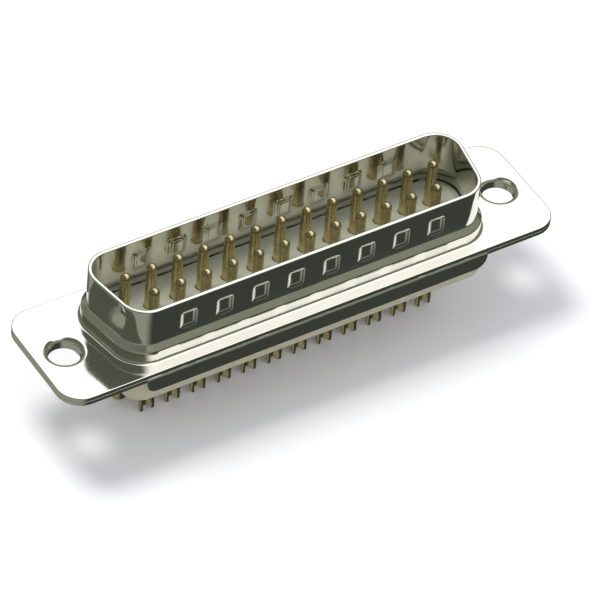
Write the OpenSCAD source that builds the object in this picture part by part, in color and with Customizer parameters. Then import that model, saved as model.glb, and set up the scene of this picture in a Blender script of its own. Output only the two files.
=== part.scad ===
// Male D-subminiature connector with turned solder-cup contacts in two rows.
// X runs along the connector, +Y is the wide side of the D, +Z is the mating side.
// The origin is the centre of the flange's front face, which lies against a panel.

/* [Flange] */
// Length of the flange along X
flange_length = 53.04; // [52:0.01:60]
// Depth of the flange along Y
flange_depth = 12.55; // [12.3:0.01:16]
// Radius of the flange's four corners
flange_corner = 2.4; // [0.5:0.1:4]
// Thickness of each of the two flange sheets
flange_sheet = 0.45; // [0.3:0.05:0.6]

/* [Mounting holes] */
// Distance between the two mounting holes
hole_spacing = 47.04; // [46.8:0.01:48]
// Bore of the eyelet in each mounting hole
hole_bore = 3.05; // [2.6:0.05:3.2]
// Wall of the eyelet's tube
eyelet_wall = 0.35; // [0.2:0.05:0.45]
// Radius of the rolled mouth where the flange turns down into the eyelet
eyelet_mouth = 0.55; // [0.45:0.05:0.7]
// Width of the staked lip that holds the rear sheet
eyelet_lip = 0.45; // [0.2:0.05:0.6]
// Thickness of the staked lip
eyelet_lip_thickness = 0.35; // [0.2:0.05:0.6]

/* [Mating shell] */
// Greatest inside length of the D
mate_length = 38.96; // [38:0.01:39.5]
// Inside depth of the D
mate_depth = 8.36; // [8:0.01:8.6]
// Inside corner radius of the D
mate_corner = 2.3; // [1.5:0.1:3]
// Slope of the D's ends
end_angle = 10; // [5:1:12]
// Height of the rim above the flange
shell_height = 6; // [4.8:0.1:8]
// Thickness of the drawn wall
shell_wall = 0.4; // [0.3:0.05:0.45]
// How far the foot of the wall stands out from the upper wall
foot_out = 0.5; // [0.3:0.05:0.6]
// Height of the foot's straight wall
foot_height = 1.37; // [0.9:0.01:1.5]
// Height of the slope between the foot and the upper wall
shoulder_height = 0.55; // [0.3:0.05:0.7]
// Width and height of the bevel where the wall meets the flange
root_bevel = 0.3; // [0.1:0.05:0.4]

/* [Grounding dimples] */
// Dimples on each long wall
dimple_count = 8; // [2:1:8]
// Distance between neighbouring dimples
dimple_pitch = 3.8; // [2.5:0.1:4]
// Length of a dimple along the wall
dimple_length = 1.8; // [1:0.1:2.2]
// Height of a dimple
dimple_height = 2.2; // [1:0.1:2.3]
// How far a dimple is pressed in
dimple_depth = 0.25; // [0.1:0.01:0.3]
// Level of the dimples' centres above the flange
dimple_level = 3.5; // [3.4:0.1:4.2]

/* [Contacts] */
// Distance between neighbouring contacts of one row
contact_pitch = 2.76; // [2.6:0.01:2.8]
// Distance between the two rows
row_spacing = 2.84; // [2.6:0.01:3]
// Diameter of the mating pin
pin_diameter = 1.02; // [0.8:0.01:1.1]
// Level of the pin's tip above the flange
pin_level = 5.4; // [4:0.1:7]
// Diameter of the collar that is trapped between the insulators
collar_diameter = 1.9; // [1.7:0.05:2]
// Height of the collar
collar_height = 0.8; // [0.4:0.1:1.5]
// Diameter of the tail and its solder cup
cup_diameter = 1.45; // [1.3:0.05:1.5]
// Bore of the solder cup
cup_bore = 1; // [0.7:0.05:1.1]
// Depth of the solder cup
cup_depth = 2.7; // [2.2:0.1:3]
// Length over which the cup is cut open on its outer side
cup_opening = 2; // [1:0.1:2.1]
// How far the open cup's edges stand past its axis
cup_lip = 0.15; // [0:0.05:0.4]
// Distance from the rear insulator to the end of the solder cup
tail_length = 5.7; // [4:0.1:8]

/* [Insulators] */
// Level of the front insulator's face above the flange
face_level = 0.2; // [0.1:0.05:0.5]
// Thickness of the front insulator's flange
rib_thickness = 0.35; // [0.2:0.05:0.45]
// Gap between the front insulator's face and the upper wall, seen from the mating side
face_gap = 0.13; // [0.05:0.01:0.3]
// Greatest length of the rear insulator
rear_length = 41.24; // [40:0.01:42]
// Depth of the rear insulator along Y
rear_depth = 10.8; // [9.5:0.01:11]
// Corner radius of the rear insulator
rear_corner = 2.1; // [1:0.1:3]
// Height of the rear insulator
rear_height = 3.5; // [2.5:0.1:5]
// Height of the slightly narrower rear end of the insulator
ledge_height = 1; // [0.4:0.1:1.5]
// Set-back of that rear end
ledge_step = 0.15; // [0.05:0.05:0.3]

/* [Rear shell] */
// Length of the skirts folded down along the two long edges
skirt_length = 36.8; // [20:0.1:40]
// Height of the skirts from the flange's front face
skirt_level = 2.4; // [1.8:0.1:3.5]
// Radius of the skirts' lower corners
skirt_corner = 1.2; // [0.3:0.1:1.3]
// Inner radius of the fold
fold_radius = 0.1; // [0.05:0.05:0.3]

/* [Fits] */
// Clearance all round between a sheet's opening and what passes through it
opening_clearance = 0.05; // [0.02:0.01:0.1]
// Clearance all round between a contact and its hole
contact_clearance = 0.03; // [0.01:0.01:0.05]
// Clearance all round between the eyelet and the rear sheet
eyelet_clearance = 0.05; // [0.02:0.01:0.1]

/* [Hidden] */
$fn = 64;
cut = 1;  // how far a cutting shape runs past what it cuts
thin = 0.01;  // thickness of the slices that a slope runs between
corner_steps = 12;  // flat steps in each round corner of a D
back_count = 13;
front_count = 12;
contact_count = back_count + front_count;
eyelet_outside = hole_bore / 2 + eyelet_wall;
fold_outside = fold_radius + flange_sheet;
tin = [0.80, 0.81, 0.78];
ivory = [0.90, 0.88, 0.79];
gold = [0.72, 0.62, 0.36];

// Levels, from the rim down
sheet_level = -flange_sheet;
rear_face = -2 * flange_sheet;
insulator_end = rear_face - rear_height;
cup_end = insulator_end - tail_length;
collar_end = rear_face - collar_height;
foot_bend = atan2(foot_out, shoulder_height);
inner_drop = shell_wall * tan(foot_bend / 2);

function contact_name(index) = str("contact_", index < 10 ? "0" : "", index);

// Side of contact number index: 1 in the back row, on the wide side, and -1 in the front row
function row_side(index) = index <= back_count ? 1 : -1;
function contact_x(index) = index <= back_count
    ? (index - (back_count + 1) / 2) * contact_pitch
    : (index - back_count - (front_count + 1) / 2) * contact_pitch;
function contact_y(index) = row_side(index) * row_spacing / 2;

// Points on an arc from angle a to angle b
function arc(centre, radius, a, b, steps = 6) = [
    for (i = [0:steps]) let(angle = a + (b - a) * i / steps)
        centre + radius * [cos(angle), sin(angle)]
];

// D outline of the given depth, greatest length and corner radius, with its wide side at +Y
module d_outline(depth, length, corner) {
    y = depth / 2 - corner;
    back = length / 2 - corner;
    front = back - 2 * y * tan(end_angle);
    polygon(concat(
        arc([back, y], corner, -end_angle, 90, corner_steps),
        arc([-back, y], corner, 90, 180 + end_angle, corner_steps),
        arc([-front, -y], corner, 180 + end_angle, 270, corner_steps),
        arc([front, -y], corner, 270, 360 - end_angle, corner_steps)
    ));
}

// The inside of the mating D, grown by an offset
module mating_d(grow) {
    d_outline(mate_depth + 2 * grow, mate_length + 2 * grow, mate_corner + grow);
}

// Rectangle with round corners
module plate_outline(length, depth, corner) {
    square([length - 2 * corner, depth], center = true);
    square([length, depth - 2 * corner], center = true);
    for (x = [-1, 1], y = [-1, 1])
        translate([x * (length / 2 - corner), y * (depth / 2 - corner)]) circle(corner);
}

// Outline of one flange sheet with a round hole of the given radius at each end
module flange_outline(hole_radius) {
    difference() {
        plate_outline(flange_length, flange_depth, flange_corner);
        for (x = [-1, 1]) translate([x * hole_spacing / 2, 0]) circle(hole_radius);
    }
}

// Solid that follows the D from one offset at the bottom to another at the top
module d_slope(grow_bottom, grow_top, bottom, top) {
    hull() {
        translate([0, 0, bottom]) linear_extrude(thin) mating_d(grow_bottom);
        translate([0, 0, top - thin]) linear_extrude(thin) mating_d(grow_top);
    }
}

// Solid that follows the D at one offset, between two levels
module d_solid(grow, bottom, top) {
    translate([0, 0, bottom]) linear_extrude(top - bottom) mating_d(grow);
}

// The drawn wall filled in, with its surface at a distance outside the mating D
module drawn_solid(grow, root, drop, bottom, top) {
    d_slope(foot_out + grow + root, foot_out + grow, bottom, bottom + root);
    d_solid(foot_out + grow, bottom + root, foot_height - drop);
    d_slope(foot_out + grow, grow, foot_height - drop, foot_height + shoulder_height - drop);
    d_solid(grow, foot_height + shoulder_height - drop, top);
}

// Section of an eyelet: rolled mouth, straight bore, staked lip under the rear sheet
function eyelet_profile() = concat(
    arc([hole_bore / 2 + eyelet_mouth, -eyelet_mouth], eyelet_mouth, 90, 180),
    [
        [hole_bore / 2, rear_face - eyelet_lip_thickness],
        [eyelet_outside + eyelet_lip, rear_face - eyelet_lip_thickness],
        [eyelet_outside + eyelet_lip, rear_face], [eyelet_outside, rear_face],
        [eyelet_outside, sheet_level], [hole_bore / 2 + eyelet_mouth, sheet_level]
    ]
);

// Row of bars along both long walls, each with the given section of [distance from the middle, level]
module on_long_walls(section) {
    for (side = [0, 1]) mirror([0, side, 0])
        for (i = [0:dimple_count - 1])
            translate([(i - (dimple_count - 1) / 2) * dimple_pitch, 0, 0])
                rotate([90, 0, 90]) linear_extrude(dimple_length, center = true) polygon(section);
}

// Section of a dimple pressed in from a face, with sloping top and bottom, closed at a base distance
function dimple_section(face, base) = [
    [base, dimple_level + dimple_height / 2],
    [face, dimple_level + dimple_height / 2],
    [face - dimple_depth, dimple_level + dimple_height / 2 - dimple_depth],
    [face - dimple_depth, dimple_level - dimple_height / 2 + dimple_depth],
    [face, dimple_level - dimple_height / 2],
    [base, dimple_level - dimple_height / 2]
];

module front_shell() {
    inside = mate_depth / 2;
    outside = inside + shell_wall;
    color(tin) difference() {
        union() {
            translate([0, 0, sheet_level]) linear_extrude(flange_sheet)
                flange_outline(hole_bore / 2 + eyelet_mouth);
            drawn_solid(shell_wall, root_bevel, 0, 0, shell_height);
            for (x = [-1, 1])
                translate([x * hole_spacing / 2, 0, 0]) rotate_extrude() polygon(eyelet_profile());
        }
        difference() {
            union() {
                drawn_solid(0, root_bevel, inner_drop, sheet_level, shell_height + cut);
                d_solid(foot_out + root_bevel, sheet_level - cut, sheet_level);
            }
            on_long_walls(dimple_section(inside, inside + cut));
        }
        on_long_walls(dimple_section(outside, outside + cut));
    }
}

// Section of a skirt: out of the rear sheet, round the fold and down, with its outer face at 0
function skirt_section() = concat(
    arc([fold_outside, sheet_level - fold_outside], fold_outside, 90, 180),
    [[0, -skirt_level], [flange_sheet, -skirt_level]],
    arc([fold_outside, sheet_level - fold_outside], fold_radius, 180, 90)
);

// Front view of a skirt, with round lower corners
module skirt_outline() {
    straight = skirt_level - skirt_corner;
    translate([-skirt_length / 2, -straight]) square([skirt_length, straight]);
    translate([-skirt_length / 2 + skirt_corner, -skirt_level])
        square([skirt_length - 2 * skirt_corner, skirt_level]);
    for (x = [-1, 1])
        translate([x * (skirt_length / 2 - skirt_corner), -straight]) circle(skirt_corner);
}

module skirt() {
    translate([0, -flange_depth / 2, 0]) intersection() {
        rotate([90, 0, 90]) linear_extrude(skirt_length, center = true) polygon(skirt_section());
        rotate([90, 0, 0]) linear_extrude(4 * fold_outside, center = true) skirt_outline();
    }
}

module rear_shell() {
    color(tin) {
        translate([0, 0, rear_face]) linear_extrude(flange_sheet) difference() {
            flange_outline(eyelet_outside + eyelet_clearance);
            mating_d(0);
            for (side = [-1, 1]) translate([0, side * (flange_depth / 2 - fold_outside / 2 + cut / 2)])
                square([skirt_length, fold_outside + cut], center = true);
        }
        for (side = [0, 1]) mirror([0, side, 0]) skirt();
    }
}

// Round bores for all the contacts, between two levels
module contact_bores(diameter, bottom, top) {
    for (index = [1:contact_count])
        translate([contact_x(index), contact_y(index), bottom])
            cylinder(top - bottom, d = diameter + 2 * contact_clearance);
}

module front_insulator() {
    color(ivory) difference() {
        union() {
            d_solid(-opening_clearance, rear_face, sheet_level);
            d_solid(foot_out - opening_clearance, sheet_level, sheet_level + rib_thickness);
            d_solid(-face_gap, sheet_level + rib_thickness, face_level);
        }
        contact_bores(pin_diameter, rear_face - cut, face_level + cut);
    }
}

// Layer of the rear insulator, set back from its widest outline, between two levels
module rear_layer(step, bottom, top) {
    translate([0, 0, bottom]) linear_extrude(top - bottom)
        d_outline(rear_depth - 2 * step, rear_length - 2 * step, rear_corner - step);
}

module rear_insulator() {
    color(ivory) difference() {
        union() {
            rear_layer(0, insulator_end + ledge_height, rear_face);
            rear_layer(ledge_step, insulator_end, insulator_end + ledge_height);
        }
        contact_bores(cup_diameter, insulator_end - cut, collar_end);
        contact_bores(collar_diameter, collar_end, rear_face + cut);
    }
}

// Half section of a contact, from the bottom of its cup round to the pin's tip
function contact_profile() = concat(
    [
        [0, cup_end + cup_depth], [cup_bore / 2, cup_end + cup_depth], [cup_bore / 2, cup_end],
        [cup_diameter / 2, cup_end], [cup_diameter / 2, collar_end],
        [collar_diameter / 2, collar_end], [collar_diameter / 2, rear_face],
        [pin_diameter / 2, rear_face]
    ],
    arc([0, pin_level - pin_diameter / 2], pin_diameter / 2, 0, 90)
);

module contact(index) {
    side = row_side(index);
    color(gold) translate([contact_x(index), contact_y(index), 0]) difference() {
        rotate_extrude() polygon(contact_profile());
        translate([-cup_diameter, side > 0 ? cup_lip : -cup_lip - cup_diameter, cup_end - cut])
            cube([2 * cup_diameter, cup_diameter, cup_opening + cut]);
    }
}

front_shell();
rear_shell();
front_insulator();
rear_insulator();
for (index = [1:contact_count])
    contact(index);
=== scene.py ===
"""Two-row D-subminiature plug with solder cups: plated shells, insulators, contacts and a stage.

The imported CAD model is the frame. Each operator builds one piece, or one group of like pieces,
in metres and in that frame, and the pieces take the places of the plain solids.
"""

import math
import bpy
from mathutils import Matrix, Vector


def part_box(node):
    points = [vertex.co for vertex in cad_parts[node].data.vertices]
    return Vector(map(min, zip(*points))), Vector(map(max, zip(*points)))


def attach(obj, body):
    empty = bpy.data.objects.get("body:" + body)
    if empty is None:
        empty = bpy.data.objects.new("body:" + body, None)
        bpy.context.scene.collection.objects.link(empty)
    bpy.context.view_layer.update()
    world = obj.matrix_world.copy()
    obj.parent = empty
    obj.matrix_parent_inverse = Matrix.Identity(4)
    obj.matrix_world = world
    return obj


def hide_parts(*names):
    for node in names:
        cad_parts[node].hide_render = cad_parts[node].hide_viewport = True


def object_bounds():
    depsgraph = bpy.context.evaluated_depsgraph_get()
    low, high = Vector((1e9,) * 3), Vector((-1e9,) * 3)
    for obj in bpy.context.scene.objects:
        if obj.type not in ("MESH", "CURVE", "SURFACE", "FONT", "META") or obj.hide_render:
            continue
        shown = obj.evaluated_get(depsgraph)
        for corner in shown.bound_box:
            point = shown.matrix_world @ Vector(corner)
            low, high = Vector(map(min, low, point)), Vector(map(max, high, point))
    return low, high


bl_info = {
    "name": "Solder-cup D-subminiature plug",
    "version": (1, 0, 0),
    "blender": (4, 5, 0),
    "location": "3D View > Sidebar > D-sub plug",
    "description": "Builds the shells, insulators and contacts of a D-subminiature plug",
    "category": "Object",
}

import bmesh
import bpy
from mathutils import Matrix, Vector, noise
from mathutils.geometry import tessellate_polygon

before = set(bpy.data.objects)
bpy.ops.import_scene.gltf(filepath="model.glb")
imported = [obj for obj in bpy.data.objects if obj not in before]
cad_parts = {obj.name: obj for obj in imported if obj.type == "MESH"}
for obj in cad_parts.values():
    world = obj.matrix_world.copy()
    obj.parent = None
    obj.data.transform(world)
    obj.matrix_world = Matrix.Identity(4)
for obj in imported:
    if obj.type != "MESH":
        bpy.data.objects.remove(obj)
CAD_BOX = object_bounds()

MM = 0.001
SHELL_LOW, SHELL_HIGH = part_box("front_shell")
REAR_LOW, REAR_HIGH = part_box("rear_shell")
FACE_LOW, FACE_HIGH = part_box("front_insulator")
BLOCK_LOW, BLOCK_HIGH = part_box("rear_insulator")
PIN_LOW, PIN_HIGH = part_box("contact_01")
CONTACTS = sorted(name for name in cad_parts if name.startswith("contact_"))

RIM_LEVEL = SHELL_HIGH.z
LIP_LEVEL = SHELL_LOW.z
SHEET = -REAR_HIGH.z  # the rear sheet's face lies this far below the flange's face
REAR_FACE = FACE_LOW.z
SKIRT_LEVEL = REAR_LOW.z
FACE_LEVEL = FACE_HIGH.z
BLOCK_END = BLOCK_LOW.z
CUP_END = PIN_LOW.z
PIN_TIP = PIN_HIGH.z

SAME = 1e-6  # offsets closer than this are equal
NEARLY = 0.999  # share of a radius that leaves its arc a short straight end


# ---------------------------------------------------------------- properties

def size(name, description, millimetres):
    """A length in metres whose default is written in millimetres."""
    return bpy.props.FloatProperty(
        name=name, description=description, default=millimetres * MM,
        min=0.0, precision=5, subtype="DISTANCE", unit="LENGTH")


def measured(name, description, metres):
    """A length in metres whose default is measured on the frame."""
    return size(name, description, metres / MM)


def number(name, description, default):
    return bpy.props.IntProperty(name=name, description=description, default=default, min=1)


def tint(name, description, colour):
    return bpy.props.FloatVectorProperty(
        name=name, description=description, default=colour, size=3, min=0.0, max=1.0,
        subtype="COLOR")


class PlugOutline(bpy.types.PropertyGroup):
    length: size("Length", "Greatest inside length of the mating D", 38.96)
    depth: size("Depth", "Inside depth of the mating D", 8.36)
    corner: size("Corner", "Inside corner radius of the mating D", 2.3)
    slope: bpy.props.FloatProperty(
        name="End slope", description="Slope of the D's ends", default=math.radians(10),
        subtype="ANGLE", unit="ROTATION")


class FlangeSizes(bpy.types.PropertyGroup):
    length: measured("Length", "Length of the flange", SHELL_HIGH.x - SHELL_LOW.x)
    depth: measured("Depth", "Depth of the flange", SHELL_HIGH.y - SHELL_LOW.y)
    corner: size("Corner", "Radius of the flange's corners", 2.4)
    sheet: measured("Sheet", "Thickness of each flange sheet", SHEET)
    edge: size("Edge", "Rounding of a stamped edge", 0.09)
    hole_spacing: size("Hole spacing", "Distance between the mounting holes", 47.04)
    hole_bore: size("Hole bore", "Bore of the eyelets", 3.05)
    mouth: size("Mouth", "Radius of the rolled mouth of an eyelet", 0.55)
    tube: size("Tube", "Wall of an eyelet's tube", 0.35)
    lip: size("Lip", "Width of the staked lip", 0.45)


class ShellSizes(bpy.types.PropertyGroup):
    wall: size("Wall", "Thickness of the drawn wall", 0.4)
    foot_out: size("Foot", "How far the wall's foot stands out", 0.5)
    foot_height: size("Foot height", "Height of the foot's wall", 1.37)
    shoulder: size("Shoulder", "Height of the slope above the foot", 0.55)
    root: size("Root", "Outer radius where the wall meets the flange", 0.3)
    bend: size("Bend", "Radius of the bends at both ends of the shoulder", 0.3)
    rim: size("Rim", "Rounding of the rim", 0.13)


class DimpleSizes(bpy.types.PropertyGroup):
    count: number("Count", "Dimples on each long wall", 8)
    pitch: size("Pitch", "Distance between dimples", 3.8)
    length: size("Length", "Length of a dimple along the wall", 1.8)
    height: size("Height", "Height of a dimple", 2.2)
    depth: size("Depth", "How far a dimple is pressed in", 0.25)
    level: size("Level", "Level of the dimples' centres", 3.5)
    corner: size("Corner", "Corner radius of a dimple", 0.4)


class SkirtSizes(bpy.types.PropertyGroup):
    length: size("Length", "Length of the folded skirts", 36.8)
    corner: size("Corner", "Radius of a skirt's lower corners", 1.2)
    fold: size("Fold", "Inner radius of the fold", 0.1)
    ripple: size("Ripple", "Height of the small buckles along the fold", 0.016)


class InsulatorSizes(bpy.types.PropertyGroup):
    spigot_gap: size("Spigot gap", "Gap round the part in the sheet's opening", 0.05)
    face_gap: size("Face gap", "Gap round the face, seen from the mating side", 0.13)
    rib: size("Rib", "Thickness of the front insulator's flange", 0.35)
    block_corner: size("Block corner", "Corner radius of the rear insulator", 2.1)
    ledge: size("Ledge", "Height of the narrower rear end", 1.0)
    ledge_step: size("Ledge step", "Set-back of the narrower rear end", 0.15)


class ContactSizes(bpy.types.PropertyGroup):
    back_count: number("Back row", "Contacts in the row on the wide side", 13)
    front_count: number("Front row", "Contacts in the other row", 12)
    pitch: size("Pitch", "Distance between contacts of one row", 2.76)
    row_spacing: size("Row spacing", "Distance between the rows", 2.84)
    pin: size("Pin", "Diameter of the mating pin", 1.02)
    collar: measured("Collar", "Diameter of the collar", PIN_HIGH.x - PIN_LOW.x)
    collar_height: size("Collar height", "Height of the collar", 0.8)
    cup: size("Cup", "Diameter of the solder cup", 1.45)
    cup_bore: size("Cup bore", "Bore of the solder cup", 1.0)
    cup_depth: size("Cup depth", "Depth of the solder cup", 2.7)
    cup_opening: size("Cup opening", "Length over which the cup is open", 2.0)
    cup_lip: size("Cup lip", "How far the open cup's edges stand past its axis", 0.15)
    clearance: size("Clearance", "Clearance round a contact in its hole", 0.03)


class PlugColours(bpy.types.PropertyGroup):
    plating: tint("Plating", "Plated steel of both shells", (0.80, 0.79, 0.735))
    gold: tint("Gold", "Plating of the contacts", (0.62, 0.52, 0.30))
    face: tint("Face insulator", "Plastic seen between the pins", (0.60, 0.62, 0.50))
    block: tint("Rear insulator", "Plastic behind the flange", (0.62, 0.58, 0.43))
    floor: tint("Floor", "Floor under the plug", (0.86, 0.865, 0.89))


GROUPS = {
    "plug_outline": PlugOutline,
    "plug_flange": FlangeSizes,
    "plug_shell": ShellSizes,
    "plug_dimples": DimpleSizes,
    "plug_skirts": SkirtSizes,
    "plug_insulators": InsulatorSizes,
    "plug_contacts": ContactSizes,
    "plug_colours": PlugColours,
}


# ---------------------------------------------------------------- outlines

def arc(centre, radius, start, end, steps):
    """Points on an arc, with its angles in degrees."""
    points = []
    for i in range(steps + 1):
        angle = math.radians(start + (end - start) * i / steps)
        points.append((centre[0] + radius * math.cos(angle), centre[1] + radius * math.sin(angle)))
    return points


def rounded(points, radii, steps=6):
    """A path whose inner corners are rounded by the given radii."""
    path = [tuple(points[0])]
    for before, corner, after, radius in zip(points, points[1:], points[2:], radii):
        corner = Vector(corner)
        back = (Vector(before) - corner).normalized()
        on = (Vector(after) - corner).normalized()
        half = back.angle(on) / 2
        centre = corner + (back + on).normalized() * radius / math.sin(half)
        reach = radius / math.tan(half)
        first = corner + back * reach - centre
        turn = first.angle_signed(corner + on * reach - centre)
        for i in range(steps + 1):
            path.append(tuple(centre + Matrix.Rotation(-turn * i / steps, 2) @ first))
    path.append(tuple(points[-1]))
    return path


def d_outline(length, depth, corner, slope, grow=0.0, stations=(), steps=16):
    """D outline grown by an offset: (x, y, side) points, where side is 1 on the back wall,
    -1 on the front wall and 0 elsewhere. Stations are extra points along both long walls."""
    y = depth / 2 - corner
    back = length / 2 - corner
    front = back - 2 * y * math.tan(slope)
    tilt = math.degrees(slope)
    radius = corner + grow
    points = [(*p, 0) for p in arc((back, y), radius, -tilt, 90, steps)]
    points += [(x, y + radius, 1) for x in reversed(stations)]
    points += [(*p, 0) for p in arc((-back, y), radius, 90, 180 + tilt, steps)]
    points += [(*p, 0) for p in arc((-front, -y), radius, 180 + tilt, 270, steps)]
    points += [(x, -y - radius, -1) for x in stations]
    points += [(*p, 0) for p in arc((front, -y), radius, 270, 360 - tilt, steps)]
    return points


def plate_outline(length, depth, corner, inset=0.0, steps=12):
    """Rectangle with round corners."""
    x, y, radius = length / 2 - corner, depth / 2 - corner, corner - inset
    return (arc((x, y), radius, 0, 90, steps) + arc((-x, y), radius, 90, 180, steps)
            + arc((-x, -y), radius, 180, 270, steps) + arc((x, -y), radius, 270, 360, steps))


def circle(centre, radius, steps=48):
    """Closed round outline."""
    return arc(centre, radius, 0, 360, steps)[:-1]


# ---------------------------------------------------------------- mesh helpers

def ring(bm, outline, level):
    """Vertices of an outline at one level."""
    return [bm.verts.new((p[0], p[1], level)) for p in outline]


def bridge(bm, rings, closed=True):
    """Quads between each ring and the next."""
    for a, b in zip(rings, rings[1:]):
        count = len(a)
        for i in range(count if closed else count - 1):
            j = (i + 1) % count
            bm.faces.new((a[i], a[j], b[j], b[i]))


def fill(bm, outer, holes=()):
    """Flat face between an outer ring and the rings of its holes."""
    loops = [outer, *holes]
    corners = [v for loop in loops for v in loop]
    for triangle in tessellate_polygon([[v.co for v in loop] for loop in loops]):
        bm.faces.new([corners[i] for i in triangle])


def finish_mesh(bm, name, sharp=35.0):
    """Turns the mesh's faces outwards and shades them smooth up to an angle."""
    bmesh.ops.recalc_face_normals(bm, faces=bm.faces)
    mesh = bpy.data.meshes.new(name)
    bm.to_mesh(mesh)
    bm.free()
    mesh.polygons.foreach_set("use_smooth", [True] * len(mesh.polygons))
    mesh.set_sharp_from_angle(angle=math.radians(sharp))
    return mesh


def settle(mesh, name, material, slot, *nodes):
    """Makes the mesh a piece that rides on the body and stands for its CAD nodes."""
    piece = bpy.data.objects.new(name, mesh)
    bpy.context.scene.collection.objects.link(piece)
    if not mesh.materials:
        mesh.materials.append(material)
    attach(piece, "root")
    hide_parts(*nodes)
    return piece


def weigh_normals(piece):
    """Keeps flat faces flat in reflections beside their rounded edges."""
    modifier = piece.modifiers.new("flat faces", "WEIGHTED_NORMAL")
    modifier.mode = "FACE_AREA"
    modifier.weight = 50
    modifier.keep_sharp = True


def contact_places(sizes):
    """Centres of all contacts: the back row first, each row from -X to +X."""
    places = []
    for count, side in ((sizes.back_count, 1), (sizes.front_count, -1)):
        for i in range(count):
            places.append(((i - (count - 1) / 2) * sizes.pitch, side * sizes.row_spacing / 2))
    return places


# ---------------------------------------------------------------- materials

class Nodes:
    """Short calls for a material's or the world's node tree."""

    def __init__(self, tree):
        self.tree = tree
        self.tree.nodes.clear()

    def add(self, kind, values=None, **settings):
        """A new node with its input values and its settings."""
        node = self.tree.nodes.new(kind)
        for name, value in settings.items():
            setattr(node, name, value)
        for name, value in (values or {}).items():
            self.put(node.inputs[name], value)
        return node

    def put(self, socket, value):
        """Links a socket to the input, or sets the input to a plain value."""
        if isinstance(value, bpy.types.NodeSocket):
            self.tree.links.new(value, socket)
        else:
            socket.default_value = value

    def noise(self, vector, scale, detail=2.0, roughness=0.5):
        return self.add("ShaderNodeTexNoise", {
            "Vector": vector, "Scale": scale, "Detail": detail, "Roughness": roughness,
        }).outputs["Fac"]

    def stretch(self, value, low, high, new_low, new_high, smooth=False):
        """A value taken from one range to another and kept inside it."""
        node = self.add("ShaderNodeMapRange", {
            "From Min": low, "From Max": high, "To Min": new_low, "To Max": new_high,
            "Value": value}, interpolation_type="SMOOTHSTEP" if smooth else "LINEAR")
        return node.outputs["Result"]

    def maths(self, operation, a, b=0.0):
        node = self.add("ShaderNodeMath", operation=operation)
        self.put(node.inputs[0], a)
        self.put(node.inputs[1], b)
        return node.outputs[0]

    def mix(self, factor, a, b):
        node = self.add("ShaderNodeMix", data_type="RGBA")
        self.put(node.inputs[0], factor)
        self.put(node.inputs[6], a)
        self.put(node.inputs[7], b)
        return node.outputs[2]

    def bump(self, height, distance, normal=None):
        values = {"Height": height, "Distance": distance}
        if normal is not None:
            values["Normal"] = normal
        return self.add("ShaderNodeBump", values).outputs["Normal"]

    def scaled(self, vector, scale):
        """Coordinates scaled along each axis, which draws a pattern out into lines."""
        return self.add("ShaderNodeMapping", {"Vector": vector, "Scale": scale}).outputs["Vector"]


def shade(colour, factor):
    """The colour made darker or lighter, with full alpha."""
    return (colour[0] * factor, colour[1] * factor, colour[2] * factor, 1.0)


def new_material(name):
    material = bpy.data.materials.new(name)
    material.use_nodes = True
    nodes = Nodes(material.node_tree)
    output = nodes.add("ShaderNodeOutputMaterial")
    return material, nodes, output


def plated_steel(colour):
    """Bright plated sheet: slightly wavy, with fine drawing lines and a few duller clouds."""
    material, nodes, output = new_material("plated_steel")
    place = nodes.add("ShaderNodeTexCoord").outputs["Object"]
    clouds = nodes.noise(place, 180.0, 3.0, 0.6)
    grain = nodes.noise(nodes.scaled(place, (400.0, 400.0, 5200.0)), 1.0, 3.0, 0.65)
    waves = nodes.noise(place, 260.0, 1.0)
    pits = nodes.noise(place, 6500.0, 2.0, 0.7)
    tone = nodes.mix(nodes.stretch(clouds, 0.35, 0.65, 0.0, 1.0),
                     shade(colour, 0.955), shade(colour, 1.0))
    rough = nodes.stretch(nodes.maths("ADD", clouds, nodes.maths("MULTIPLY", grain, 0.6)),
                          0.55, 1.05, 0.055, 0.125)
    normal = nodes.bump(waves, 0.000016)
    normal = nodes.bump(grain, 0.0000006, normal)
    normal = nodes.bump(pits, 0.0000007, normal)
    surface = nodes.add("ShaderNodeBsdfPrincipled", {
        "Base Color": tone, "Roughness": rough, "Normal": normal, "Metallic": 1.0})
    nodes.put(output.inputs["Surface"], surface.outputs["BSDF"])
    return material


def gold_plating(colour):
    """Thin gold over turned pins: faint turning rings and a patchy tone."""
    material, nodes, output = new_material("gold_plating")
    place = nodes.add("ShaderNodeTexCoord").outputs["Object"]
    patches = nodes.noise(place, 700.0, 3.0, 0.6)
    rings = nodes.noise(nodes.scaled(place, (150.0, 150.0, 9000.0)), 1.0, 2.0, 0.6)
    tone = nodes.mix(nodes.stretch(patches, 0.35, 0.65, 0.0, 1.0),
                     shade(colour, 0.86), shade(colour, 1.05))
    rough = nodes.stretch(rings, 0.3, 0.7, 0.16, 0.3)
    normal = nodes.bump(rings, 0.0000015)
    surface = nodes.add("ShaderNodeBsdfPrincipled", {
        "Base Color": tone, "Roughness": rough, "Normal": normal, "Metallic": 1.0})
    nodes.put(output.inputs["Surface"], surface.outputs["BSDF"])
    return material


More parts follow.
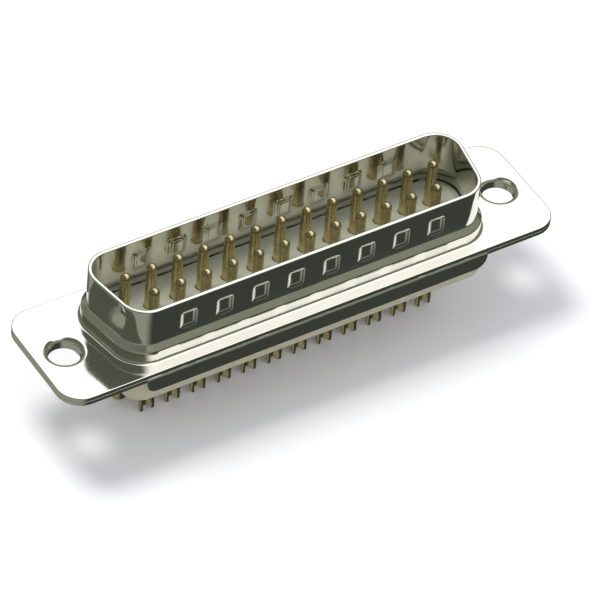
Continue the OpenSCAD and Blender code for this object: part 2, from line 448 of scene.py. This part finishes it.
def moulded_plastic(name, colour, gloss):
    """Glass-filled moulding: fine mottling, a soft grain and a slight sheen."""
    material, nodes, output = new_material(name)
    place = nodes.add("ShaderNodeTexCoord").outputs["Object"]
    mottle = nodes.noise(place, 900.0, 4.0, 0.65)
    flow = nodes.noise(nodes.scaled(place, (120.0, 500.0, 500.0)), 1.0, 2.0)
    grain = nodes.noise(place, 5200.0, 3.0, 0.7)
    tone = nodes.mix(nodes.stretch(mottle, 0.3, 0.7, 0.0, 1.0),
                     shade(colour, 0.92), shade(colour, 1.04))
    tone = nodes.mix(nodes.stretch(flow, 0.4, 0.8, 0.0, 0.3), tone, shade(colour, 0.84))
    rough = nodes.stretch(grain, 0.3, 0.7, gloss, gloss + 0.14)
    normal = nodes.bump(grain, 0.000004)
    surface = nodes.add("ShaderNodeBsdfPrincipled", {
        "Base Color": tone, "Roughness": rough, "Normal": normal})
    nodes.put(output.inputs["Surface"], surface.outputs["BSDF"])
    return material


def shared_material(name, make, *values):
    """The material of this name, made on first use."""
    return bpy.data.materials.get(name) or make(*values)


# ---------------------------------------------------------------- front shell

def dimple_stations(sizes, reach):
    """Places along a long wall: close together over each dimple, one between neighbours."""
    steps = 24
    margin = sizes.length / 2 + 0.22 * MM
    last = reach - 1.4 * MM
    stations = []
    for i in range(sizes.count):
        centre = (i - (sizes.count - 1) / 2) * sizes.pitch
        stations += [centre - margin + 2 * margin * k / steps for k in range(steps + 1)]
        stations.append(centre + sizes.pitch / 2)
    stations = [x for x in stations[:-1] if abs(x) < reach]
    return [-last, *stations, last]


def dimple_depth(sizes, x, level, spread):
    """How far the wall is pressed in at a place. Spread widens the dimple on the inner side."""
    if abs(level - sizes.level) > sizes.height / 2 + 0.3 * MM:
        return 0.0
    first = -(sizes.count - 1) / 2 * sizes.pitch
    index = min(max(round((x - first) / sizes.pitch), 0), sizes.count - 1)
    across = abs(x - first - index * sizes.pitch)
    up = level - sizes.level
    corner = sizes.corner
    dx = across - (sizes.length / 2 + spread - corner)
    dz = abs(up) - (sizes.height / 2 + spread - corner)
    outside = math.hypot(max(dx, 0.0), max(dz, 0.0)) + min(max(dx, dz), 0.0) - corner
    inside = -outside / MM
    if inside <= 0.0:
        return 0.0
    # Two steps down with a ledge between, wider along the lower edge, then a leaning floor
    low_edge = up < 0 and dz > dx
    upper, ledge, lower = (0.16, 0.10, 0.30) if low_edge else (0.14, 0.08, 0.22)
    upper_share, lean_share = 0.45, 0.18
    steps = ease(inside / upper) * upper_share
    steps += ease((inside - upper - ledge) / lower) * (1 - upper_share)
    lean = 1 - lean_share + lean_share * up / (sizes.height / 2)
    return sizes.depth * steps * lean


def ease(value):
    """Smooth rise from 0 to 1."""
    value = min(max(value, 0.0), 1.0)
    return value * value * (3 - 2 * value)


def shell_ring(bm, outline, dimples, offset, level, stations, spread=None):
    """Ring round the D at one level, pressed in at the dimples where a spread is given."""
    points = d_outline(outline.length, outline.depth, outline.corner, outline.slope,
                       offset, stations)
    verts = []
    for x, y, side in points:
        if side and spread is not None:
            y -= side * dimple_depth(dimples, x, level, spread)
        verts.append(bm.verts.new((x, y, level)))
    return verts


def wall_rows(low, high, dimples):
    """Levels of the rings between two ends of a wall, close together over the dimples."""
    margin, clear, steps = 0.1 * MM, 0.02 * MM, 34
    top = dimples.level + dimples.height / 2 + margin
    bottom = dimples.level - dimples.height / 2 - margin
    rows = [bottom + (top - bottom) * i / steps for i in range(steps + 1)]
    return [z for z in rows if low + clear < z < high - clear]


def build_front_shell(scene):
    outline, flange, shell = scene.plug_outline, scene.plug_flange, scene.plug_shell
    dimples = scene.plug_dimples
    bm = bmesh.new()
    bend = math.atan2(shell.foot_out, shell.shoulder) / 2
    drop = shell.wall * math.tan(bend)
    foot = shell.foot_out + shell.wall
    shoulder = shell.foot_height + shell.shoulder
    inner_root = (shell.root + flange.sheet) * 0.93  # leaves a short straight end
    stations = dimple_stations(dimples, outline.length / 2 - outline.corner - 1.2 * MM)

    outer = rounded(
        [(foot + shell.root, 0.0), (foot, 0.0), (foot, shell.foot_height),
         (shell.wall, shoulder), (shell.wall, RIM_LEVEL), (shell.wall / 2, RIM_LEVEL)],
        [shell.root * NEARLY, shell.bend, shell.bend, shell.rim])
    inner = rounded(
        [(shell.wall / 2, RIM_LEVEL), (0.0, RIM_LEVEL), (0.0, shoulder - drop),
         (shell.foot_out, shell.foot_height - drop), (shell.foot_out, -flange.sheet),
         (foot + shell.root, -flange.sheet)],
        [shell.rim, shell.bend, shell.bend, inner_root])[1:]

    def rings_of(path, wall_offset, spread):
        """Rings along a path, with close rows for the dimples on its tall upright wall."""
        rings = []
        for (offset, level), (next_offset, next_level) in zip(path, path[1:] + path[-1:]):
            rings.append(shell_ring(bm, outline, dimples, offset, level, stations))
            low, high = sorted((level, next_level))
            upright = all(abs(x - wall_offset) < SAME for x in (offset, next_offset))
            if upright and high - low > dimples.height:
                rows = wall_rows(low, high, dimples)
                rows = rows if next_level > level else rows[::-1]
                rings += [shell_ring(bm, outline, dimples, offset, z, stations, spread)
                          for z in rows]
        return rings

    rings = rings_of(outer, shell.wall, 0.0) + rings_of(inner, 0.0, 0.07 * MM)
    bridge(bm, rings)

    # Flange: its face, stamped edge and underside, with an eyelet in each hole
    edge = rounded(
        [(flange.edge * 2, 0.0), (0.0, 0.0), (0.0, -flange.sheet), (0.1 * MM, -flange.sheet)],
        [flange.edge, 0.04 * MM], 5)
    rims = [ring(bm, plate_outline(flange.length, flange.depth, flange.corner, inset), level)
            for inset, level in edge]
    bridge(bm, rims)
    bore = flange.hole_bore / 2
    tube = bore + flange.tube
    lip = tube + flange.lip
    section = rounded(
        [(bore + flange.mouth, 0.0), (bore, 0.0), (bore, LIP_LEVEL), (lip, LIP_LEVEL),
         (lip, REAR_FACE), (tube, REAR_FACE), (tube, -flange.sheet)],
        [flange.mouth * NEARLY, 0.12 * MM, 0.1 * MM, 0.05 * MM, 0.01 * MM], 8)
    mouths, tubes = [], []
    for side in (-1, 1):
        centre = (side * flange.hole_spacing / 2, 0.0)
        eyelet = [ring(bm, circle(centre, radius), level) for radius, level in section]
        bridge(bm, eyelet)
        mouths.append(eyelet[0])
        tubes.append(eyelet[-1])
    fill(bm, rims[0], [rings[0], *mouths])
    fill(bm, rims[-1], [rings[-1], *tubes])
    mesh = finish_mesh(bm, "FrontShell", 40.0)
    steel = shared_material("plated_steel", plated_steel, scene.plug_colours.plating)
    piece = settle(mesh, "FrontShell", steel, "tin_plate", "front_shell")
    weigh_normals(piece)


# ---------------------------------------------------------------- rear shell

def skirt_rings(bm, flange, skirts, side):
    """Rings of one folded skirt, from one end to the other."""
    inner, outer = skirts.fold, skirts.fold + flange.sheet
    face = flange.depth / 2
    centre = (face - outer, -flange.sheet - outer)
    straight = skirts.length / 2 - skirts.corner
    columns = 230
    crowding = 0.35  # share of the columns' spacing that closes up towards both ends
    rings = []
    for k in range(columns + 1):
        along = math.sin(math.pi * (k / columns - 0.5))
        x = skirts.length / 2 * (crowding * along + (1 - crowding) * (2 * k / columns - 1))
        over = max(abs(x) - straight, 0.0)
        end = SKIRT_LEVEL + skirts.corner - math.sqrt(max(skirts.corner ** 2 - over ** 2, 0.0))
        section = arc(centre, outer, 90, 0, 10)
        section += [(face, end + 0.12 * MM), (face - 0.04 * MM, end + 0.02 * MM),
                    (face - 0.12 * MM, end), (face - flange.sheet + 0.04 * MM, end),
                    (face - flange.sheet, end + 0.04 * MM)]
        section += arc(centre, inner, 0, 90, 4)
        points = []
        for i, (y, z) in enumerate(section):
            if 1 <= i <= 9:  # the fold's outer arc, without its ends
                buckle = noise.noise(Vector((x / MM * 1.1, side * 7.3, 0.35 * i)))
                buckle += 0.6 * noise.noise(Vector((x / MM * 2.9, side * 3.1, 4.0 + 0.5 * i)))
                swell = math.sin(math.pi * i / 10) * skirts.ripple * (buckle - 0.5)
                away = (Vector((y, z)) - Vector(centre)).normalized() * swell
                y, z = y + away.x, z + away.y
            points.append(bm.verts.new((x, side * y, z)))
        rings.append(points)
    return rings


def notched_outline(flange, skirts, inset):
    """Flange outline whose long edges step in where the skirts fold away."""
    outline = plate_outline(flange.length, flange.depth, flange.corner, inset)
    steps = len(outline) // 4
    reach = skirts.length / 2
    edge = flange.depth / 2 - inset
    fold = flange.depth / 2 - skirts.fold - flange.sheet
    back = [(reach, edge), (reach, fold), (-reach, fold), (-reach, edge)]
    front = [(-x, -y) for x, y in back]
    return outline[:steps] + back + outline[steps:3 * steps] + front + outline[3 * steps:]


def build_rear_shell(scene):
    outline, flange, skirts = scene.plug_outline, scene.plug_flange, scene.plug_skirts
    bm = bmesh.new()
    edge = rounded(
        [(0.1 * MM, -flange.sheet), (0.0, -flange.sheet), (0.0, REAR_FACE),
         (0.2 * MM, REAR_FACE)], [0.05 * MM, 0.08 * MM], 4)
    rims = [ring(bm, notched_outline(flange, skirts, inset), level) for inset, level in edge]
    bridge(bm, rims)
    walls = []
    radius = flange.hole_bore / 2 + flange.tube + 0.05 * MM
    for side in (-1, 1):
        centre = (side * flange.hole_spacing / 2, 0.0)
        wall = [ring(bm, circle(centre, radius), level) for level in (-flange.sheet, REAR_FACE)]
        bridge(bm, wall)
        walls.append(wall)
    opening = [
        ring(bm, d_outline(outline.length, outline.depth, outline.corner, outline.slope), level)
        for level in (-flange.sheet, REAR_FACE)]
    bridge(bm, opening)
    fill(bm, rims[0], [opening[0], walls[0][0], walls[1][0]])
    fill(bm, rims[-1], [opening[1], walls[0][1], walls[1][1]])
    for side in (-1, 1):
        rings = skirt_rings(bm, flange, skirts, side)
        bridge(bm, rings)
        fill(bm, rings[0])
        fill(bm, rings[-1])
    mesh = finish_mesh(bm, "RearShell", 40.0)
    steel = shared_material("plated_steel", plated_steel, scene.plug_colours.plating)
    piece = settle(mesh, "RearShell", steel, "tin_plate", "rear_shell")
    weigh_normals(piece)


# ---------------------------------------------------------------- insulators

def bores(bm, places, section, steps=28):
    """Stepped bore at each place from (radius, level) points: the rings at both its ends."""
    tops, bottoms = [], []
    for place in places:
        rings = [ring(bm, circle(place, radius, steps), level) for radius, level in section]
        bridge(bm, rings)
        tops.append(rings[0])
        bottoms.append(rings[-1])
    return tops, bottoms


def build_front_insulator(scene):
    outline, flange, shell = scene.plug_outline, scene.plug_flange, scene.plug_shell
    sizes, contacts = scene.plug_insulators, scene.plug_contacts
    bm = bmesh.new()
    rib_top = -flange.sheet + sizes.rib
    face, rib, spigot = -sizes.face_gap, shell.foot_out - sizes.spigot_gap, -sizes.spigot_gap
    path = rounded(
        [(face - 0.3 * MM, FACE_LEVEL), (face, FACE_LEVEL), (face, rib_top), (rib, rib_top),
         (rib, -flange.sheet), (spigot, -flange.sheet), (spigot, REAR_FACE),
         (spigot - 0.2 * MM, REAR_FACE)],
        [radius * MM for radius in (0.08, 0.05, 0.05, 0.02, 0.02, 0.05)], 4)
    rings = [
        ring(bm, d_outline(outline.length, outline.depth, outline.corner, outline.slope, offset),
             level) for offset, level in path]
    bridge(bm, rings)
    bore = contacts.pin / 2 + contacts.clearance
    tops, bottoms = bores(bm, contact_places(contacts), [
        (bore + 0.13 * MM, FACE_LEVEL), (bore + 0.04 * MM, FACE_LEVEL - 0.03 * MM),
        (bore, FACE_LEVEL - 0.12 * MM), (bore, REAR_FACE)])
    fill(bm, rings[0], tops)
    fill(bm, rings[-1], bottoms)
    mesh = finish_mesh(bm, "FrontInsulator")
    plastic = shared_material("face_plastic", moulded_plastic, "face_plastic",
                              scene.plug_colours.face, 0.34)
    piece = settle(mesh, "FrontInsulator", plastic, "face_insulator", "front_insulator")
    weigh_normals(piece)


def build_rear_insulator(scene):
    outline, sizes, contacts = scene.plug_outline, scene.plug_insulators, scene.plug_contacts
    bm = bmesh.new()
    length, depth = BLOCK_HIGH.x - BLOCK_LOW.x, BLOCK_HIGH.y - BLOCK_LOW.y
    ledge = BLOCK_END + sizes.ledge
    step = sizes.ledge_step
    path = rounded(
        [(-0.6 * MM, REAR_FACE), (0.0, REAR_FACE), (0.0, ledge), (-step, ledge),
         (-step, BLOCK_END), (-step - 0.6 * MM, BLOCK_END)],
        [radius * MM for radius in (0.12, 0.06, 0.06, 0.2)], 5)
    rings = [ring(bm, d_outline(length, depth, sizes.block_corner, outline.slope, offset), level)
             for offset, level in path]
    bridge(bm, rings)
    collar = contacts.collar / 2 + contacts.clearance
    tail = contacts.cup / 2 + contacts.clearance
    seat = REAR_FACE - contacts.collar_height
    tops, bottoms = bores(bm, contact_places(contacts), [
        (collar, REAR_FACE), (collar, seat), (tail, seat), (tail, BLOCK_END + 0.1 * MM),
        (tail + 0.1 * MM, BLOCK_END)])
    fill(bm, rings[0], tops)
    fill(bm, rings[-1], bottoms)
    mesh = finish_mesh(bm, "RearInsulator")
    plastic = shared_material("block_plastic", moulded_plastic, "block_plastic",
                              scene.plug_colours.block, 0.42)
    piece = settle(mesh, "RearInsulator", plastic, "rear_insulator", "rear_insulator")
    weigh_normals(piece)


# ---------------------------------------------------------------- contacts

def turned(bm, section, steps=28):
    """Solid turned about Z from (radius, level) points that start and end on the axis."""
    rings = [ring(bm, circle((0.0, 0.0), radius, steps), level)
             for radius, level in section[1:-1]]
    bridge(bm, rings)
    for end, near in ((section[0], rings[0]), (section[-1], rings[-1])):
        pole = bm.verts.new((0.0, 0.0, end[1]))
        for i in range(steps):
            bm.faces.new((pole, near[i], near[(i + 1) % steps]))


def contact_mesh(sizes):
    """One contact of the front row, at the origin: pin, collar, tail and a scooped cup."""
    pin, collar, cup, bore = sizes.pin / 2, sizes.collar / 2, sizes.cup / 2, sizes.cup_bore / 2
    seat = REAR_FACE - sizes.collar_height
    floor = CUP_END + sizes.cup_depth
    point = floor - 0.25 * MM  # the bore's floor bulges a little towards the opening
    tip = arc((0.0, PIN_TIP - pin), pin, 90, 0, 8)
    body = rounded(
        [tip[-1], (pin, REAR_FACE), (collar, REAR_FACE), (collar, seat), (cup, seat),
         (cup, CUP_END), (bore, CUP_END), (bore, floor), (0.0, point)],
        [radius * MM for radius in (0.02, 0.08, 0.08, 0.02, 0.06, 0.05, 0.1)], 4)
    bm = bmesh.new()
    turned(bm, tip[:-1] + body)
    bmesh.ops.recalc_face_normals(bm, faces=bm.faces)
    whole = bpy.data.meshes.new("contact")
    bm.to_mesh(whole)
    bm.free()

    # Cutter that opens the cup on its outer side, with a scooped upper end
    scoop = 0.55 * MM
    reach = 2 * MM
    top = CUP_END + sizes.cup_opening
    below = CUP_END - MM
    lip = -sizes.cup_lip
    profile = [(-reach, below), (lip, below), *arc((lip - scoop, top - scoop), scoop, 0, 90, 8),
               (-reach, top)]
    bm = bmesh.new()
    sides = [[bm.verts.new((x, y, z)) for y, z in profile] for x in (-reach, reach)]
    bridge(bm, sides)
    for side in sides:
        bm.faces.new(side)
    bmesh.ops.recalc_face_normals(bm, faces=bm.faces)
    cutter_mesh = bpy.data.meshes.new("cup cutter")
    bm.to_mesh(cutter_mesh)
    bm.free()

    collection = bpy.context.scene.collection
    blank = bpy.data.objects.new("contact blank", whole)
    cutter = bpy.data.objects.new("cup cutter", cutter_mesh)
    for obj in (blank, cutter):
        collection.objects.link(obj)
    cut = blank.modifiers.new("open cup", "BOOLEAN")
    cut.operation = "DIFFERENCE"
    cut.solver = "EXACT"
    cut.object = cutter
    mesh = baked(blank, "contact")
    bpy.data.objects.remove(blank)
    bpy.data.objects.remove(cutter)
    mesh.polygons.foreach_set("use_smooth", [True] * len(mesh.polygons))
    mesh.set_sharp_from_angle(angle=math.radians(35))
    return mesh


def baked(obj, name):
    """Plain mesh of the object with its modifiers applied."""
    view = bpy.context.evaluated_depsgraph_get()
    mesh = bpy.data.meshes.new_from_object(obj.evaluated_get(view))
    mesh.name = name
    return mesh


def contact_tree(material):
    """Geometry Nodes: two rows of the incoming contact, the back row turned half round."""
    tree = bpy.data.node_groups.new("contact rows", "GeometryNodeTree")
    face = tree.interface
    face.new_socket("Geometry", in_out="INPUT", socket_type="NodeSocketGeometry")
    for name, kind in (("Pitch", "Float"), ("Row Spacing", "Float"),
                       ("Back Count", "Int"), ("Front Count", "Int")):
        face.new_socket(name, in_out="INPUT", socket_type="NodeSocket" + kind)
    face.new_socket("Geometry", in_out="OUTPUT", socket_type="NodeSocketGeometry")
    nodes = Nodes(tree)
    source = nodes.add("NodeGroupInput")
    inputs = source.outputs
    joined = nodes.add("GeometryNodeJoinGeometry")
    for count, side, turn in (("Back Count", 0.5, math.pi), ("Front Count", -0.5, 0.0)):
        gaps = nodes.maths("SUBTRACT", inputs[count], 1.0)
        start = nodes.maths("MULTIPLY", nodes.maths("MULTIPLY", gaps, inputs["Pitch"]), -0.5)
        row = nodes.maths("MULTIPLY", inputs["Row Spacing"], side)
        line = nodes.add("GeometryNodeMeshLine", {
            "Count": inputs[count],
            "Start Location": nodes.add(
                "ShaderNodeCombineXYZ", {"X": start, "Y": row}).outputs["Vector"],
            "Offset": nodes.add(
                "ShaderNodeCombineXYZ", {"X": inputs["Pitch"]}).outputs["Vector"]})
        placed = nodes.add("GeometryNodeInstanceOnPoints", {
            "Points": line.outputs["Mesh"], "Instance": inputs["Geometry"],
            "Rotation": (0.0, 0.0, turn)})
        tree.links.new(placed.outputs["Instances"], joined.inputs["Geometry"])
    real = nodes.add("GeometryNodeRealizeInstances", {"Geometry": joined.outputs["Geometry"]})
    finished = nodes.add("GeometryNodeSetMaterial", {
        "Geometry": real.outputs["Geometry"], "Material": material})
    nodes.add("NodeGroupOutput", {"Geometry": finished.outputs["Geometry"]})
    return tree


def build_contacts(scene):
    sizes = scene.plug_contacts
    gold = shared_material("gold_plating", gold_plating, scene.plug_colours.gold)
    row = bpy.data.objects.new("contact rows", contact_mesh(sizes))
    scene.collection.objects.link(row)
    rows = row.modifiers.new("rows", "NODES")
    rows.node_group = contact_tree(gold)
    values = {"Pitch": sizes.pitch, "Row Spacing": sizes.row_spacing,
              "Back Count": sizes.back_count, "Front Count": sizes.front_count}
    for item in rows.node_group.interface.items_tree:
        if item.name in values:
            rows[item.identifier] = values[item.name]
    mesh = baked(row, "Contacts")
    bpy.data.objects.remove(row)
    settle(mesh, "Contacts", gold, "contact_gold", *CONTACTS)


# ---------------------------------------------------------------- stage

def floor_material(colour):
    """Pale floor that keeps the shadow and looks white to the camera. Metal sees the
    surroundings below it instead."""
    material, nodes, output = new_material("pale_floor")
    light = nodes.add("ShaderNodeLightPath")
    place = nodes.add("ShaderNodeTexCoord").outputs["Object"]
    grain = nodes.stretch(nodes.noise(place, 400.0, 3.0), 0.3, 0.7, 0.99, 1.0)
    black = (0.0, 0.0, 0.0, 1.0)
    pale = nodes.mix(grain, black, shade(colour, 1.0))
    bright = nodes.mix(grain, black, shade(colour, 1.42))
    plain = nodes.add("ShaderNodeBsdfDiffuse", {
        "Color": nodes.mix(light.outputs["Is Camera Ray"], pale, bright)})
    clear = nodes.add("ShaderNodeBsdfTransparent")
    seen = nodes.add("ShaderNodeMixShader", {"Fac": light.outputs["Is Glossy Ray"]})
    nodes.put(seen.inputs[1], plain.outputs["BSDF"])
    nodes.put(seen.inputs[2], clear.outputs["BSDF"])
    nodes.put(output.inputs["Surface"], seen.outputs["Shader"])
    return material


def studio_world():
    """White to the camera, even on matt surfaces, and a soft-box room in reflections:
    bright overhead, grey-green towards the horizon, dark below and on the left."""
    world = bpy.data.worlds.new("studio")
    bpy.context.scene.world = world
    world.use_nodes = True
    nodes = Nodes(world.node_tree)
    light = nodes.add("ShaderNodeLightPath").outputs
    towards = nodes.add("ShaderNodeTexCoord").outputs["Generated"]
    axes = nodes.add("ShaderNodeSeparateXYZ", {"Vector": towards}).outputs
    left = nodes.stretch(axes["X"], -0.30, 0.12, 1.0, 0.0, True)
    below = nodes.mix(left, (0.050, 0.056, 0.047, 1.0), (0.30, 0.32, 0.26, 1.0))
    horizon = nodes.mix(left, (0.24, 0.26, 0.195, 1.0), (0.17, 0.19, 0.15, 1.0))
    above = nodes.mix(left, (1.5, 1.5, 1.5, 1.0), (0.11, 0.125, 0.10, 1.0))
    room = nodes.mix(nodes.stretch(axes["Z"], -0.22, 0.12, 0.0, 1.0, True), below, horizon)
    room = nodes.mix(nodes.stretch(axes["Z"], 0.55, 0.64, 0.0, 1.0, True), room, above)
    even = nodes.mix(light["Is Camera Ray"], (0.5, 0.505, 0.52, 1.0), (1.0, 1.0, 1.0, 1.0))
    colour = nodes.mix(light["Is Glossy Ray"], even, room)
    background = nodes.add("ShaderNodeBackground", {"Color": colour})
    nodes.add("ShaderNodeOutputWorld", {"Surface": background.outputs["Background"]})


def area_light(name, place, width, watts, colour):
    """Round lamp that faces the plug and isn't seen in reflections."""
    data = bpy.data.lights.new(name, "AREA")
    data.shape = "DISK"
    data.size = width
    data.energy = watts
    data.color = colour
    lamp = bpy.data.objects.new(name, data)
    lamp.location = place
    lamp.rotation_euler = (-Vector(place)).to_track_quat("-Z", "Y").to_euler()
    lamp.visible_glossy = False
    bpy.context.scene.collection.objects.link(lamp)


def add_floor(scene):
    """Square floor under the lowest point of the plug."""
    level = CAD_BOX[0][2]
    half, steps = 0.9, 8
    places = [-half + 2 * half * i / steps for i in range(steps + 1)]
    bm = bmesh.new()
    bridge(bm, [[bm.verts.new((x, y, level)) for x in places] for y in places], closed=False)
    mesh = bpy.data.meshes.new("Floor")
    bm.to_mesh(mesh)
    bm.free()
    mesh.materials.append(floor_material(scene.plug_colours.floor))
    floor = bpy.data.objects.new("Floor", mesh)
    scene.collection.objects.link(floor)


def add_camera(scene, place, forward, up, lens):
    """Long-lens camera from its place in millimetres and its forward and up directions."""
    data = bpy.data.cameras.new("camera")
    data.sensor_width = 36.0
    data.lens = lens
    data.clip_start = 0.01
    data.clip_end = 10.0
    camera = bpy.data.objects.new("camera", data)
    forward = Vector(forward).normalized()
    right = forward.cross(Vector(up)).normalized()
    turn = Matrix((right, right.cross(forward), -forward)).transposed()
    camera.matrix_world = Matrix.Translation(Vector(place) * MM) @ turn.to_4x4()
    scene.collection.objects.link(camera)
    scene.camera = camera


def build_stage(scene):
    add_floor(scene)
    studio_world()
    area_light("key", place=(-0.10, 0.16, 0.50), width=0.20, watts=1.25,
               colour=(1.0, 0.985, 0.95))
    area_light("fill", place=(0.30, -0.40, 0.35), width=0.40, watts=0.35,
               colour=(0.97, 0.98, 1.0))
    add_camera(scene, place=(-194.314, -277.516, 325.058),
               forward=(0.414282, 0.585798, -0.696571), up=(0.319994, 0.622728, 0.714012),
               lens=304.3146)
    scene.view_settings.view_transform = "Standard"


# ---------------------------------------------------------------- operators and panel

class PlugOperator:
    """What all builders share: they run one build function on the scene"""
    bl_options = {"REGISTER", "UNDO"}
    build = None

    def execute(self, context):
        type(self).build(context.scene)
        return {"FINISHED"}


class PLUG_OT_front_shell(PlugOperator, bpy.types.Operator):
    """Build the drawn front shell with its flange, dimples and eyelets"""
    bl_idname = "plug.front_shell"
    bl_label = "Front shell"
    build = staticmethod(build_front_shell)


class PLUG_OT_rear_shell(PlugOperator, bpy.types.Operator):
    """Build the rear flange sheet with its folded skirts"""
    bl_idname = "plug.rear_shell"
    bl_label = "Rear shell"
    build = staticmethod(build_rear_shell)


class PLUG_OT_front_insulator(PlugOperator, bpy.types.Operator):
    """Build the insulator between the pins"""
    bl_idname = "plug.front_insulator"
    bl_label = "Front insulator"
    build = staticmethod(build_front_insulator)


class PLUG_OT_rear_insulator(PlugOperator, bpy.types.Operator):
    """Build the insulator behind the flange"""
    bl_idname = "plug.rear_insulator"
    bl_label = "Rear insulator"
    build = staticmethod(build_rear_insulator)


class PLUG_OT_contacts(PlugOperator, bpy.types.Operator):
    """Build both rows of turned contacts"""
    bl_idname = "plug.contacts"
    bl_label = "Contacts"
    build = staticmethod(build_contacts)


class PLUG_OT_stage(PlugOperator, bpy.types.Operator):
    """Build the floor, the lights and the camera"""
    bl_idname = "plug.stage"
    bl_label = "Stage"
    build = staticmethod(build_stage)


OPERATORS = (PLUG_OT_front_shell, PLUG_OT_rear_shell, PLUG_OT_front_insulator,
             PLUG_OT_rear_insulator, PLUG_OT_contacts, PLUG_OT_stage)


class PLUG_PT_panel(bpy.types.Panel):
    """Sizes, finishes and builders of the plug"""
    bl_label = "D-sub plug"
    bl_idname = "PLUG_PT_panel"
    bl_space_type = "VIEW_3D"
    bl_region_type = "UI"
    bl_category = "D-sub plug"

    def draw(self, context):
        for name in GROUPS:
            box = self.layout.box()
            box.label(text=name.replace("plug_", "").capitalize())
            group = getattr(context.scene, name)
            for key in group.bl_rna.properties.keys():
                if key not in {"rna_type", "name"}:
                    box.prop(group, key)
        for operator in OPERATORS:
            self.layout.operator(operator.bl_idname)


CLASSES = (*GROUPS.values(), *OPERATORS, PLUG_PT_panel)


def register():
    for cls in CLASSES:
        bpy.utils.register_class(cls)
    for name, group in GROUPS.items():
        setattr(bpy.types.Scene, name, bpy.props.PointerProperty(type=group))


def unregister():
    for name in GROUPS:
        delattr(bpy.types.Scene, name)
    for cls in reversed(CLASSES):
        bpy.utils.unregister_class(cls)


def main():
    register()
    for operator in OPERATORS:
        space, name = operator.bl_idname.split(".")
        result = getattr(getattr(bpy.ops, space), name)()
        if result != {"FINISHED"}:
            raise RuntimeError(operator.bl_idname + " did not finish")
    bpy.context.view_layer.update()


if __name__ == "__main__":
    main()
